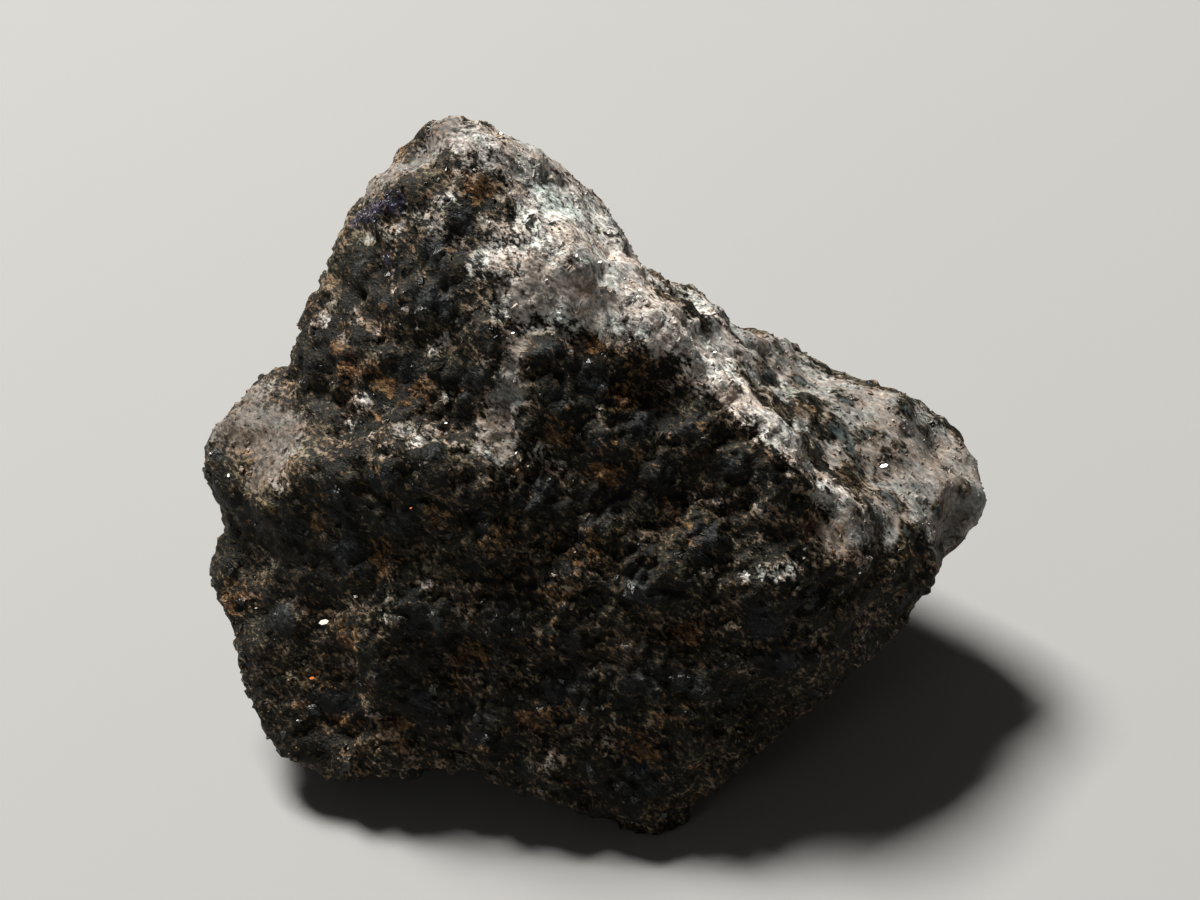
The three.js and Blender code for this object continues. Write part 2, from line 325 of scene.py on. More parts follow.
# partly the pale mineral of the crest, partly a painted highlight that makes it paler and brighter still
PALE_STRIP_WITH_PAINTED_HIGHLIGHT = [
    (610, 245, 1.3), (622, 262, 1.2), (636, 275, 1.1), (648, 290, 1.1), (662, 306, 1.0), (676, 320, 1.0),
    (690, 332, 0.9), (705, 344, 0.9), (722, 356, 0.9), (735, 368, 0.9), (712, 372, 0.7), (746, 384, 0.8),
    (757, 399, 0.7), (768, 413, 0.7), (779, 425, 0.7), (791, 438, 0.6), (801, 451, 0.6), (810, 464, 0.6),
    (822, 478, 0.5), (838, 490, 0.5), (852, 500, 0.6), (566, 215, 1.2), (590, 250, 1.2), (604, 275, 1.0),
    (548, 285, 0.8), (575, 282, 0.8), (602, 298, 0.8), (560, 303, 0.6), (588, 312, 0.6), (530, 268, 0.7),
    (726, 384, 0.6), (738, 396, 0.5), (846, 514, 0.5), (866, 522, 0.5),
]
FROST = [
    (391, 245, 0.5), (362, 273, 0.5), (350, 308, 0.4), (336, 334, 0.4), (477, 273, 0.6), (494, 308, 0.6),
    (465, 291, 0.4), (442, 228, 0.5), (485, 251, 0.6), (391, 288, 0.4), (419, 276, 0.4), (431, 350, 0.4),
    (440, 342, 0.4), (480, 362, 0.4), (368, 402, 0.5), (388, 407, 0.4), (415, 325, 0.4), (455, 320, 0.4),
    (420, 215, 0.6), (450, 200, 0.5), (480, 215, 0.6), (505, 235, 0.7), (400, 225, 0.4), (530, 330, 0.6),
    (560, 330, 0.5), (545, 300, 0.8), (520, 300, 0.7), (470, 160, 0.7), (330, 300, 0.4), (352, 350, 0.3),
    (430, 235, 0.6), (455, 238, 0.5), (490, 262, 0.6), (515, 268, 0.6), (392, 270, 0.5), (356, 320, 0.4),
    (342, 340, 0.4), (530, 308, 0.6), (478, 360, 0.4), (448, 398, 0.4), (350, 425, 0.5), (375, 440, 0.5),
    (535, 455, 0.5), (560, 462, 0.5), (400, 430, 0.4), (322, 322, 0.4), (372, 330, 0.4), (410, 258, 0.5),
]
# painted shade: just under the crest's lip the pale is taken away, where the lip shades the face below
PAINTED_SHADE_UNDER_CREST = [
    (560, 348, 0.8), (595, 350, 0.8), (630, 354, 0.8), (660, 366, 0.8), (682, 394, 0.8), (706, 410, 0.9),
    (728, 432, 0.9), (748, 454, 0.9), (770, 478, 0.9), (796, 500, 0.8), (530, 380, 0.7),
]
VALLEY = [(720, 335, 1.2), (748, 362, 1.2), (778, 394, 1.1), (808, 426, 1.1), (838, 458, 1.0)]
SHELF = [
    (745, 335, 1.5), (790, 362, 2.2), (835, 390, 2.4), (880, 415, 2.6), (925, 445, 2.4), (950, 480, 2.0),
    (905, 480, 2.2), (860, 450, 1.8), (940, 512, 1.6), (890, 520, 1.6), (965, 495, 1.5), (850, 535, 1.0),
    (966, 470, 1.3), (974, 502, 1.1), (958, 530, 1.0),
]
LEFT_LEDGE = [
    (290, 432, 1.3), (268, 415, 1.3), (250, 440, 1.4), (272, 462, 1.0), (248, 400, 1.2), (232, 430, 1.3),
    (258, 480, 0.8),
]
LEDGE_BAND = [
    (320, 445, 0.9), (350, 440, 0.9), (385, 448, 0.9), (420, 442, 0.8), (455, 440, 0.8), (485, 450, 0.8),
]
BEVEL = [(445, 118, 1.0), (432, 136, 1.0), (412, 158, 1.0), (390, 176, 1.0), (368, 190, 0.9)]
# painted highlight: the brow of a small ledge on the dark front is made pale
PAINTED_HIGHLIGHT_ON_SMALL_LEDGE = [(744, 577, 0.35), (760, 575, 0.4), (776, 573, 0.4), (792, 570, 0.35)]
RUST = [
    (345, 370, 0.7), (380, 388, 0.9), (640, 362, 0.8), (600, 345, 0.6), (470, 185, 0.7), (520, 185, 0.7),
    (620, 400, 0.9), (560, 440, 0.8), (440, 515, 0.9), (380, 565, 0.9), (316, 680, 0.9), (395, 735, 1.0),
    (345, 640, 0.8), (470, 660, 0.9), (560, 590, 0.8), (640, 745, 1.2), (685, 632, 0.8), (500, 540, 0.8),
    (830, 525, 0.8), (300, 300, 0.8), (330, 345, 0.6), (610, 470, 0.7), (230, 600, 1.0), (540, 720, 1.0),
]
VIOLET = [
    (343, 222, 0.35), (353, 219, 0.35), (363, 216, 0.4), (373, 213, 0.4), (383, 209, 0.4), (392, 206, 0.35),
    (402, 203, 0.3), (386, 258, 0.3),
]
DARK_LUMPS = [
    (222, 452, 0.8), (236, 404, 0.4), (246, 462, 0.4), (262, 402, 0.3), (215, 485, 0.8),
    (434, 250, 1.1), (465, 219, 0.8), (500, 273, 0.8), (436, 299, 1.2), (405, 365, 1.0), (465, 382, 1.4),
    (497, 342, 0.7), (339, 348, 0.9), (313, 408, 0.7), (305, 368, 0.8), (385, 300, 0.9), (360, 265, 0.7),
    (345, 305, 0.7), (545, 350, 0.9), (590, 375, 0.9), (640, 420, 1.0), (690, 430, 0.9), (735, 470, 0.9),
    (560, 400, 1.0), (610, 440, 0.9), (665, 480, 1.0), (540, 500, 1.1), (600, 520, 1.1), (480, 520, 1.0),
    (700, 540, 1.0), (640, 590, 1.2), (570, 640, 1.3), (500, 610, 1.1), (430, 620, 1.2), (350, 560, 1.2),
    (290, 540, 1.3), (250, 510, 1.2), (330, 500, 1.1), (400, 520, 0.9), (280, 620, 0.9), (330, 700, 1.2),
    (420, 700, 1.1), (480, 730, 1.2), (560, 700, 1.2), (640, 680, 1.3), (700, 690, 1.1), (640, 780, 1.3),
    (590, 770, 0.8), (760, 620, 1.1), (820, 600, 1.1), (740, 700, 1.0), (790, 660, 1.0), (380, 480, 0.9),
    (435, 455, 0.7), (360, 440, 0.6), (768, 386, 0.35), (790, 408, 0.4), (822, 430, 0.5),
]
SPECKS = [
    (770, 372, 0.6), (800, 380, 0.6), (815, 402, 0.7), (846, 400, 0.6), (868, 382, 0.6), (838, 430, 0.7),
    (872, 432, 0.7), (905, 410, 0.6), (860, 470, 0.8), (888, 492, 0.6), (900, 452, 0.6), (925, 430, 0.5),
    (948, 466, 0.6), (916, 486, 0.6), (962, 488, 0.5), (935, 510, 0.6), (880, 520, 0.6), (905, 532, 0.5),
    (830, 470, 0.7), (850, 505, 0.6), (780, 350, 0.5), (740, 345, 0.5), (895, 385, 0.5), (925, 400, 0.4),
    (885, 455, 0.4), (853, 448, 0.5), (820, 445, 0.5), (930, 455, 0.4), (900, 505, 0.4), (868, 500, 0.4),
]
print("places along the crest:", len(CREST), "and dark lumps:", len(DARK_LUMPS))

# %% Say how strongly each place counts
PLACES = {
    "crest": CREST, "rib": RIB, "bright": BRIGHT_MINERAL_AND_PAINTED_LIGHT, "pale strip with painted highlight": PALE_STRIP_WITH_PAINTED_HIGHLIGHT, "frost": FROST, "painted shade under crest": PAINTED_SHADE_UNDER_CREST,
    "valley": VALLEY, "shelf": SHELF, "ledge": LEFT_LEDGE, "ledge band": LEDGE_BAND, "bevel": BEVEL,
    "painted highlight on small ledge": PAINTED_HIGHLIGHT_ON_SMALL_LEDGE, "rust": RUST, "violet": VIOLET, "lumps": DARK_LUMPS, "specks": SPECKS,
}
# the small ledge's pale is a painted highlight; the crest, shelf and rib are pale minerals
PALE_AND_PAINTED_HIGHLIGHT_EDGES = {"crest": 0.9, "shelf": 0.85, "painted highlight on small ledge": 0.6, "rib": 0.95}
PALE_REST = {"bevel": 0.75, "ledge band": 0.35, "valley": 0.85, "frost": 0.6, "ledge": 0.76}
BEIGE = {"ledge": 1, "shelf": 0.35, "bevel": 0.8, "rib": 0.5}
CALM = {"ledge": 1, "shelf": 0.85, "bevel": 0.9, "pale strip with painted highlight": 0.5, "rib": 0.6, "valley": 0.8}
HIDDEN_FROM, HIDDEN_RAMP = 3, 4  # the hidden side starts this many mm back, and takes so many more
PATCH_CELL, SPOT_CELL, STAIN_CELL = 3.2, 0.55, 1.6  # mm across of pale patches, dark spots and stains
print("named places:", sum(len(places) for places in PLACES.values()))


# %% Turn the places into shares for any points of the surface
def nearness(points, places):
    """From 0 to 1: one minus the product, over the places, of one minus a bell curve of the distance."""
    far = np.ones(len(points))
    for *pixel, width in places:
        for middle in on_stone([pixel]):
            far *= 1 - np.exp(-((points - middle) ** 2).sum(1) / width**2)
    return 1 - far


def strongest(near, weights):
    """The largest of the named nearnesses, each times its weight."""
    return np.maximum.reduce([near[name] * weight for name, weight in weights.items()])


def pale_share(points, normals, near, hidden):
    """How pale the stone is, and how pale its hidden side would be, where noise lays the patches, more of
    them on faces that look up. Under the crest's lip the pale is taken away as painted shade, and the crest
    strip is raised with a painted highlight.
    """
    patch = soft_patches(points, PATCH_CELL, salt=21)
    back = hidden * np.clip(patch * 2 - 0.65, 0, 1) * np.clip(normals[:, 2] + 0.7, 0.25, 1)
    edges = strongest(near, PALE_AND_PAINTED_HIGHLIGHT_EDGES) * (1 - 0.3 * near["bevel"])
    pale = np.maximum.reduce([edges, strongest(near, PALE_REST), 0.8 * back])
    # painted shade under the crest's lip takes away the pale here
    # the crest strip's pale passes 1 here, partly as a painted highlight
    return np.maximum(pale * (1 - 0.85 * near["painted shade under crest"]), 1.25 * near["pale strip with painted highlight"]), back


def shares(points, normals):
    """How pale, bright, frosty, beige, calm, dark, rusty and violet the stone is at each point. Bright is
    partly a paler mineral and partly painted light, and pale takes in painted shade and painted highlights.
    """
    near = {name: nearness(points, places) for name, places in PLACES.items()}
    hidden = np.clip((points[:, 1] - HIDDEN_FROM) / HIDDEN_RAMP, 0, 1)
    pale, back = pale_share(points, normals, near, hidden)
    spots = np.clip(soft_patches(points, SPOT_CELL, salt=27) * 4 - 2.7, 0, 0.8) * (1 - 0.7 * near["pale strip with painted highlight"])
    stains = np.clip(soft_patches(points, STAIN_CELL, salt=23) * 3 - 2.1, 0, 0.6)
    clipped = np.clip(pale, 0, 1)
    lumps = near["lumps"] * (1 - clipped)
    return {
        "pale": pale,
        # bright is partly a paler mineral, partly painted light and the strip's painted highlight
        "bright": np.maximum(near["bright"], near["pale strip with painted highlight"]),
        "frost": near["frost"],
        "beige": strongest(near, BEIGE),
        "calm": np.maximum(strongest(near, CALM), 0.4 * hidden + 0.2 * back),
        "dark": np.maximum.reduce([lumps, 0.9 * near["specks"], spots * clipped]),
        "rust": np.clip(near["rust"] + stains, 0, 1),
        "violet": near["violet"],
    }


zones = shares(smooth_skin, skin_normals)
print("mean shares of the zones:", {name: round(float(share.mean()), 3) for name, share in zones.items()})

# %% [markdown]
# ## The broken relief
# Four sizes of breakage lie on one another: scoops a few millimetres wide where chips flew off, blunt lumps
# of about two millimetres, knobs of one, and the faces of single grains. A Displace modifier with a noise
# texture would give soft dents, but broken stone has small flat faces, so each size is made of small tilted
# faces and moves the skin along its normal. Calm places lose most of it. A few broad swells and dips, at
# most 0.8 mm, bring the outline closer to the photograph's. The feet stay where they are, because the stone
# rests on them. The whole skin is sunk a little, as the grains made later stand out of it and their tips
# reach the solid's surface.

# %% Displace the skin
SINK = 0.14  # mm
NAMED_LUMP = 0.2  # mm that a named dark lump stands out
CALMING = 0.7  # the part of the relief, and of the colours' play, that a calm place loses
SWELLS = [  # pixel x, pixel y, width in mm, and how far out or in, in mm
    (234, 420, 1.2, 0.5), (222, 438, 0.9, 0.25), (252, 396, 0.9, 0.2), (942, 450, 1.2, -0.75),
    (966, 474, 0.8, -0.35), (962, 512, 1.1, -0.8), (945, 545, 0.9, -0.4), (862, 655, 1.2, 0.5),
    (822, 694, 1.0, 0.45), (686, 300, 0.7, -0.6), (722, 318, 0.6, 0.4), (450, 758, 0.9, -0.45),
    (292, 374, 0.7, -0.5), (420, 150, 0.7, -0.35), (300, 342, 0.6, 0.3), (222, 540, 0.9, 0.3),
    (708, 788, 0.8, 0.25), (412, 146, 0.8, -0.6), (472, 126, 0.5, -0.2), (622, 244, 0.7, 0.25),
    (652, 277, 0.6, 0.2), (348, 775, 0.7, 0.2),
]


def swelling(points):
    """Bell curves at the named places, each times its own height, added up."""
    total = np.zeros(len(points))
    for *pixel, width, height in SWELLS:
        for middle in on_stone([pixel]):
            total += height * np.exp(-((points - middle) ** 2).sum(1) / width**2)
    return total


SCOOPS = dict(cell=4.0, tilt=0.06, step=0.05, bulge=-0.03, salt=3)
LUMPS = dict(cell=1.9, tilt=0.13, step=0.04, bulge=0.07, salt=5)
KNOBS = dict(cell=1.0, tilt=0.25, step=0.04, bulge=0.15, salt=8)
CRUMBS = dict(cell=0.5, tilt=0.35, step=0.04, bulge=0.2, salt=13)
scoops, *_ = broken_faces(smooth_skin, **SCOOPS)
lumps, lump_luck, lump_tone, lump_rim = broken_faces(smooth_skin, **LUMPS)
knobs, knob_luck, knob_tone, knob_rim = broken_faces(smooth_skin, **KNOBS)
crumbs, crumb_luck, crumb_tone, _ = broken_faces(smooth_skin, **CRUMBS)
roughly = 1 - CALMING * zones["calm"]
relief = (lumps + knobs + crumbs) * roughly + scoops + swelling(smooth_skin)
relief += NAMED_LUMP * zones["dark"] * (1 - 0.6 * zones["calm"]) - SINK
relief[smooth_skin[:, 2] < 1e-4] = 0
skin = smooth_skin + skin_normals * relief[:, None]
skin[:, 2] = np.maximum(skin[:, 2], 0)
skin_normals = outward_normals(skin, skin_faces)
print("relief in mm runs from", relief.min().round(2), "to", relief.max().round(2))

# %% [markdown]
# ## Grain by grain
# A zone's edge is ragged because whole grains are either pale or dark. A share that only fades would look
# like a blurred stain. So each lump and knob of the relief brings its own luck, which is weighed against
# the zone's share, and its own tone. Seen close up, a dark lump is darkest in its middle, and the stuff
# that fills the gaps between lumps is lighter and browner.

# %% Weigh the shares against the grains' luck
RIM_FROM, RIM_RAMP = 0.1, 0.25  # squared distances from a lump's middle, in cells
rims = 0.6 * (lump_rim - RIM_FROM) / RIM_RAMP + 0.4 * (knob_rim - RIM_FROM) / RIM_RAMP
between_lumps = np.clip(rims, 0, 1)
luck = 0.4 * lump_luck + 0.35 * knob_luck + 0.25 * crumb_luck
own_luck = (luck - 0.5) * roughly
tone = 0.3 * lump_tone + 0.3 * knob_tone + 0.4 * crumb_tone
MOST = 1.3  # a share may pass 1, so that the noise of the material doesn't break it up
skin_shares = {
    "pale": np.clip(
        0.04 + 0.89 * zones["pale"] - 0.6 * zones["dark"] + 0.9 * own_luck + 0.15 * between_lumps, 0, MOST
    ),
    "rust": np.clip(0.1 + 0.75 * zones["rust"] + 1.2 * (crumb_luck - 0.5) * knob_tone, 0, 1),
    # bright lifts the tone: partly a paler mineral, partly painted light
    "tone": np.clip(
        0.1 + 0.75 * tone + 0.3 * between_lumps - 0.35 * zones["dark"] + 0.45 * zones["bright"]
        - 0.2 * zones["frost"] * (1 - zones["bright"]), 0, MOST
    ),
    "beige": zones["beige"],
    "calm": zones["calm"],
    "violet": zones["violet"],
    "glass": np.clip(zones["dark"] + 0.8 * own_luck - 0.3 * between_lumps, 0, 1),
}
print("mean shares:", {name: round(float(share.mean()), 3) for name, share in skin_shares.items()})

# %% [markdown]
# ## Writing materials as sums
# A material is a network of nodes, which can be joined by hand in the Shader Editor. In a script it is
# easier to read as arithmetic, so one small class wraps a node's output and adds a Math node whenever
# Python adds, subtracts or multiplies it. A second class holds the material itself, and its one method
# makes every other kind of node.

# %% Wrap shader sockets
class Value:
    """An output of a shader node that can be used in sums. Each operator adds one Math node."""

    def __init__(self, recipe, socket):
        self.recipe = recipe
        self.socket = socket

    def sum(self, operation, *others):
        return self.recipe.add("Math", {"operation": operation}, dict(enumerate((self, *others))))

    def __add__(self, other):
        return self.sum("ADD", other)

    def __mul__(self, other):
        return self.sum("MULTIPLY", other)

    def __sub__(self, other):
        return self.sum("SUBTRACT", other)

    def __rsub__(self, other):
        return self.recipe.add("Math", {"operation": "SUBTRACT"}, {0: other, 1: self})

    __radd__ = __add__
    __rmul__ = __mul__

    def between(self, low, high):
        """0 below low, 1 above high, and a smooth rise from one to the other."""
        settings = {"interpolation_type": "SMOOTHSTEP"}
        return self.recipe.add("MapRange", settings, {"Value": self, "From Min": low, "From Max": high})


class Recipe:
    """A material being written, with one Principled shader."""

    def __init__(self, name, **constants):
        self.material = bpy.data.materials.new(name)
        self.material.use_nodes = True
        self.tree = self.material.node_tree
        self.shader = self.tree.nodes["Principled BSDF"]
        for socket, value in constants.items():
            self.shader.inputs[socket.replace("_", " ")].default_value = value

    def add(self, kind, settings=None, values=None, out=0):
        """Adds any node: its settings first, then its sockets' values or links. Returns an output."""
        node = self.tree.nodes.new("ShaderNode" + kind)
        for name, setting in (settings or {}).items():
            if name == "stops":
                self.set_stops(node.color_ramp, setting)
            else:
                setattr(node, name, setting)
        for name, value in (values or {}).items():
            self.feed(node.inputs[name], value)
        return Value(self, node.outputs[out])

    def set_stops(self, ramp, stops):
        while len(ramp.elements) < len(stops):
            ramp.elements.new(1.0)
        for element, (place, colour) in zip(ramp.elements, stops):
            element.position = place
            element.color = (*colour, 1)

    def feed(self, socket, value):
        if isinstance(value, Value):
            self.tree.links.new(value.socket, socket)
        else:
            socket.default_value = value

    def ramp(self, value, stops):
        """A colour picked from a row of stops."""
        return self.add("ValToRGB", {"stops": stops}, {"Fac": value})

    def blend(self, factor, first, second, how="MIX"):
        """Mixes two colours."""
        first, second = [(*c, 1) if isinstance(c, tuple) else c for c in (first, second)]
        settings = {"data_type": "RGBA", "blend_type": how}
        return self.add("Mix", settings, {0: factor, 6: first, 7: second}, out=2)

    def attribute(self, name):
        return self.add("Attribute", {"attribute_name": name}, out="Fac")

    def place(self):
        """Where a point is, in millimetres: Object coordinates times a thousand."""
        metres = self.add("TexCoord", out="Object")
        return self.add("VectorMath", {"operation": "SCALE"}, {0: metres, "Scale": 1 / MM})

    def noise(self, place, size, detail=3.0, rough=0.55):
        """Cloudy noise whose blobs are about `size` mm wide."""
        values = {"Vector": place, "Scale": 1 / size, "Detail": detail, "Roughness": rough}
        return self.add("TexNoise", None, values)

    def threads(self, place, per_mm):
        """Ridged noise: thin bright lines, about `per_mm` of them a millimetre."""
        values = {"Vector": place, "Scale": per_mm, "Detail": 3.0, "Roughness": 0.6}
        return self.add("TexNoise", {"noise_type": "RIDGED_MULTIFRACTAL"}, values)

    def finish(self, colour, roughness, height=None, depth=0.0):
        """Feeds the shader, with a bump of `depth` mm where a height is given, and returns the material."""
        self.feed(self.shader.inputs["Base Color"], colour)
        self.feed(self.shader.inputs["Roughness"], roughness)
        if height is not None:
            bump = self.add("Bump", None, {"Height": height, "Strength": 1.0, "Distance": depth * MM})
            self.feed(self.shader.inputs["Normal"], bump)
        return self.material


print("what a recipe can do:", [name for name in vars(Recipe) if not name.startswith("_")])

# %% [markdown]
# ## One recipe for the rock
# The photograph shows the rock mottled at every size, from patches to specks. A painted picture would blur
# from close by, so the colour comes from fractal noise, which sums ever finer copies of itself. One noise
# decides, together with the pale share, what is pale and what is dark, and a finer one picks the shade out
# of a row of colours. A ridged noise draws the frosty threads, which on the real stone are cracks that
# scatter light. Glassy grains show as smooth blue-black lumps, so where their share is large they hide the
# mottling. The rock was pressed while it formed, and its grains lie in streaks along the crest, so the
# noise is stretched that way. Grains use the same recipe as the skin, only lifted towards pale or dark and
# made more or less shiny, so that they look like part of one rock.

# %% Choose the sizes, the streaks and the colours
CREST_ENDS = [(447, 122), (850, 505)]  # pixels of the photograph
crest_start, crest_end = on_stone(CREST_ENDS)
LAYERING = tuple((crest_end - crest_start) / np.linalg.norm(crest_end - crest_start))
STREAK = 1.8  # how much longer than wide the grains are, along the crest
PATCH, GRIT, HUE = 0.8, 0.2, 1.4  # sizes of the noises in mm
THREADS_PER_MM = 0.9
FAR_OFF = (31.0, 17.0, 53.0)  # noise read there has nothing to do with noise read here
print("the rock's layering runs along", np.round(LAYERING, 2))
DARK_ROCK = [
    (0.0, (0.002, 0.0023, 0.0017)), (0.35, (0.006, 0.0063, 0.0044)), (0.6, (0.022, 0.0175, 0.0105)),
    (0.82, (0.067, 0.051, 0.032)), (1.0, (0.18, 0.143, 0.098)),
]
PALE_ROCK = [
    (0.0, (0.04, 0.041, 0.039)), (0.25, (0.18, 0.174, 0.165)), (0.6, (0.38, 0.363, 0.345)),
    (1.0, (0.8, 0.775, 0.74)),
]
FELDSPAR_ROCK = [
    (0.0, (0.06, 0.05, 0.045)), (0.3, (0.22, 0.18, 0.155)), (0.65, (0.42, 0.35, 0.31)),
    (1.0, (0.72, 0.64, 0.58)),
]
WARM_ROCK = [(0.0, (0.014, 0.01, 0.006)), (0.5, (0.09, 0.06, 0.036)), (1.0, (0.36, 0.275, 0.195))]
BEIGE_ROCK = [(0.0, (0.03, 0.026, 0.022)), (0.4, (0.082, 0.072, 0.062)), (1.0, (0.21, 0.188, 0.166))]
RUSTY_ROCK = [
    (0.0, (0.02, 0.012, 0.006)), (0.5, (0.075, 0.04, 0.017)), (0.85, (0.2, 0.11, 0.045)),
    (1.0, (0.4, 0.22, 0.09)),
]
GLASSY_ROCK = [(0.0, (0.003, 0.0037, 0.0037)), (0.5, (0.011, 0.013, 0.0138)), (1.0, (0.09, 0.108, 0.108))]
TINTS = [(0.36, (0.84, 0.98, 0.95)), (0.5, (1.0, 0.98, 0.95)), (0.64, (1.0, 0.82, 0.68))]
FROST_COLOUR = (0.42, 0.41, 0.385)
VIOLET_ROCK = [(0.0, (0.008, 0.008, 0.018)), (0.6, (0.032, 0.028, 0.058)), (1.0, (0.1, 0.092, 0.155))]

# %% Mix the shades of dark, pale and stained rock
def streaky_place(recipe):
    """Where a point is, with the part along the crest divided by the streak's length."""
    place = recipe.place()
    along = recipe.add("VectorMath", {"operation": "DOT_PRODUCT"}, {0: place, 1: LAYERING}, out="Value")
    share = along * (1 / STREAK - 1)
    shrink = recipe.add("VectorMath", {"operation": "SCALE"}, {0: LAYERING, "Scale": share})
    return place, recipe.add("VectorMath", {"operation": "ADD"}, {0: place, 1: shrink})


def dark_colour(recipe, cloud, spread, stops):
    """The shade of dark rock, picked by the grain's tone and both noises."""
    tone, calm = recipe.attribute("tone"), recipe.attribute("calm")
    return recipe.ramp((tone - 0.5) * 0.7 + (spread - 0.5) * 0.9 + cloud * 0.25 + calm * 0.4 + 0.26, stops)


def pale_colour(recipe, cloud, spread, stops):
    """The shade of pale rock: warm where it is only half pale, and beige on the ledge."""
    tone, calm = recipe.attribute("tone"), recipe.attribute("calm")
    shade = (tone - 0.5) * 0.5 + (cloud - 0.5) * 0.35 + (spread - 0.5) * 1.1
    light = recipe.ramp(shade * (1 - calm * CALMING) + 0.5 - calm * 0.06, stops)
    warm = recipe.ramp(tone * 0.4 + spread * 0.6, WARM_ROCK)
    light = recipe.blend(recipe.attribute("pale").between(0.25, 0.75), warm, light)
    return recipe.blend(recipe.attribute("beige") * 0.95, light, recipe.ramp(spread, BEIGE_ROCK))


def stained(recipe, colour, cloud, spread, is_pale):
    """Lays rust and violet over a colour, where their shares and the noises together are large."""
    is_rusty = (recipe.attribute("rust") + (cloud - 0.5) * 0.5 + (spread - 0.5) * 0.5).between(0.5, 0.8)
    colour = recipe.blend(is_rusty * (0.9 - is_pale * 0.5), colour, recipe.ramp(spread, RUSTY_ROCK))
    is_violet = (recipe.attribute("violet") + (cloud - 0.5) * 0.5).between(0.35, 0.65)
    return recipe.blend(is_violet * 0.8, colour, recipe.ramp(spread, VIOLET_ROCK))


# %% Write the rock's materials
def rock(name, lift=0.0, rough=0.6, shine=0.15, coat=0.0, dark=DARK_ROCK, pale=PALE_ROCK):
    """Mottled rock. `lift` moves it towards pale, `rough` is its mean roughness, `shine` its reflection."""
    recipe = Recipe(name, Specular_IOR_Level=shine, Coat_Weight=coat, Coat_Roughness=0.15)
    place, streaky = streaky_place(recipe)
    elsewhere = recipe.add("VectorMath", {"operation": "ADD"}, {0: streaky, 1: FAR_OFF})
    patches = recipe.noise(streaky, PATCH, detail=5.0, rough=0.7)
    grit = recipe.noise(elsewhere, GRIT, detail=3.0, rough=0.7)
    cloud, spread = patches.between(0.3, 0.7), grit.between(0.3, 0.7)
    calm = recipe.attribute("calm")
    break_up = (cloud - 0.5) * 0.75 + (spread - 0.5) * 0.6
    is_pale = (recipe.attribute("pale") + break_up * (1 - calm * CALMING) + lift).between(0.35, 0.7)
    colour = dark_colour(recipe, cloud, spread, dark)
    colour = recipe.blend(is_pale, colour, pale_colour(recipe, cloud, spread, pale))
    is_glassy = (recipe.attribute("glass") + (spread - 0.5) * 0.3).between(0.4, 0.65)
    glass_shade = spread * 0.45 + cloud * 0.4 + calm * 0.6
    colour = recipe.blend(is_glassy * 0.85, colour, recipe.ramp(glass_shade, GLASSY_ROCK))
    colour = stained(recipe, colour, cloud, spread, is_pale)
    hue = recipe.noise(elsewhere, HUE, detail=5.0, rough=0.75) + recipe.attribute("beige") * 0.06
    colour = recipe.blend(0.85, colour, recipe.ramp(hue, TINTS), "MULTIPLY")
    frost = recipe.threads(place, THREADS_PER_MM).between(1.15, 1.6) * (0.35 + is_pale * 0.3)
    colour = recipe.blend(frost, colour, FROST_COLOUR)
    roughness = rough + (spread - 0.5) * 0.35 - is_glassy * 0.2
    return recipe.finish(colour, roughness, (grit + patches * 0.8) * (1.15 - calm * 0.9), depth=0.12)


stone_skin = rock("stone_skin")
glassy = rock("glassy_grain", lift=-0.6, rough=0.3, shine=0.4, coat=0.1)
frosty = rock("frosty_grain", lift=0.25)
feldspar = rock("feldspar_grain", lift=0.12, rough=0.45, shine=0.25, pale=FELDSPAR_ROCK)
rusty = rock("rusty_grain", dark=RUSTY_ROCK)
mica = rock("mica_flake", lift=0.2, rough=0.25, shine=0.5, coat=0.4)
violet = rock("violet_grain", lift=-0.3, rough=0.3, shine=0.5, coat=0.2, dark=VIOLET_ROCK)
print("nodes in the rock's material:", len(stone_skin.node_tree.nodes))

# %% Turn arrays into a mesh object
def make_piece(name, points, faces, material, shares_of_points, sheet, smooth=False):
    """A mesh from millimetre corners and faces of equal length, with one attribute for each mineral share.

    sheet has a place on a flat sheet for each corner of each face, for painting the stone on a flat picture.
    """
    mesh = bpy.data.meshes.new(name)
    mesh.vertices.add(len(points))
    mesh.vertices.foreach_set("co", (points * MM).ravel())
    mesh.loops.add(faces.size)
    mesh.loops.foreach_set("vertex_index", faces.ravel())
    mesh.polygons.add(len(faces))
    mesh.polygons.foreach_set("loop_start", np.arange(0, faces.size, faces.shape[1]))
    mesh.polygons.foreach_set("use_smooth", np.full(len(faces), smooth))
    mesh.update(calc_edges=True)
    for share, values in shares_of_points.items():
        mesh.attributes.new(share, "FLOAT", "POINT").data.foreach_set("value", values)
    mesh.uv_layers.new(name="OFBake").data.foreach_set("uv", sheet.ravel())
    mesh.materials.append(material)
    piece = bpy.data.objects.new(name, mesh)
    bpy.context.collection.objects.link(piece)
    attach(piece, "root")
    return piece


skin_piece = make_piece("stone_skin", skin, skin_faces, stone_skin, skin_shares, skin_sheet, smooth=True)
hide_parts(NODE)
print("the skin's four-sided faces:", len(skin_piece.data.polygons), "and shares:", list(skin_shares))

# %% [markdown]
# ## Single grains
# A bump in the material would shade like grains, but the stone's outline would stay smooth, so the grains
# are real shapes. A grain is a small hard solid: a pebble of twenty faces for quartz and iolite, a block
# for feldspar and for rusty grains, which split along flat planes, and a thin block for a flake of mica.
# Thousands are made at once. Each is a rough copy of one shape, stretched, turned at random and pressed
# into the skin, so that only its tip stands out. The chance of a grain at a place follows the mineral
# shares.

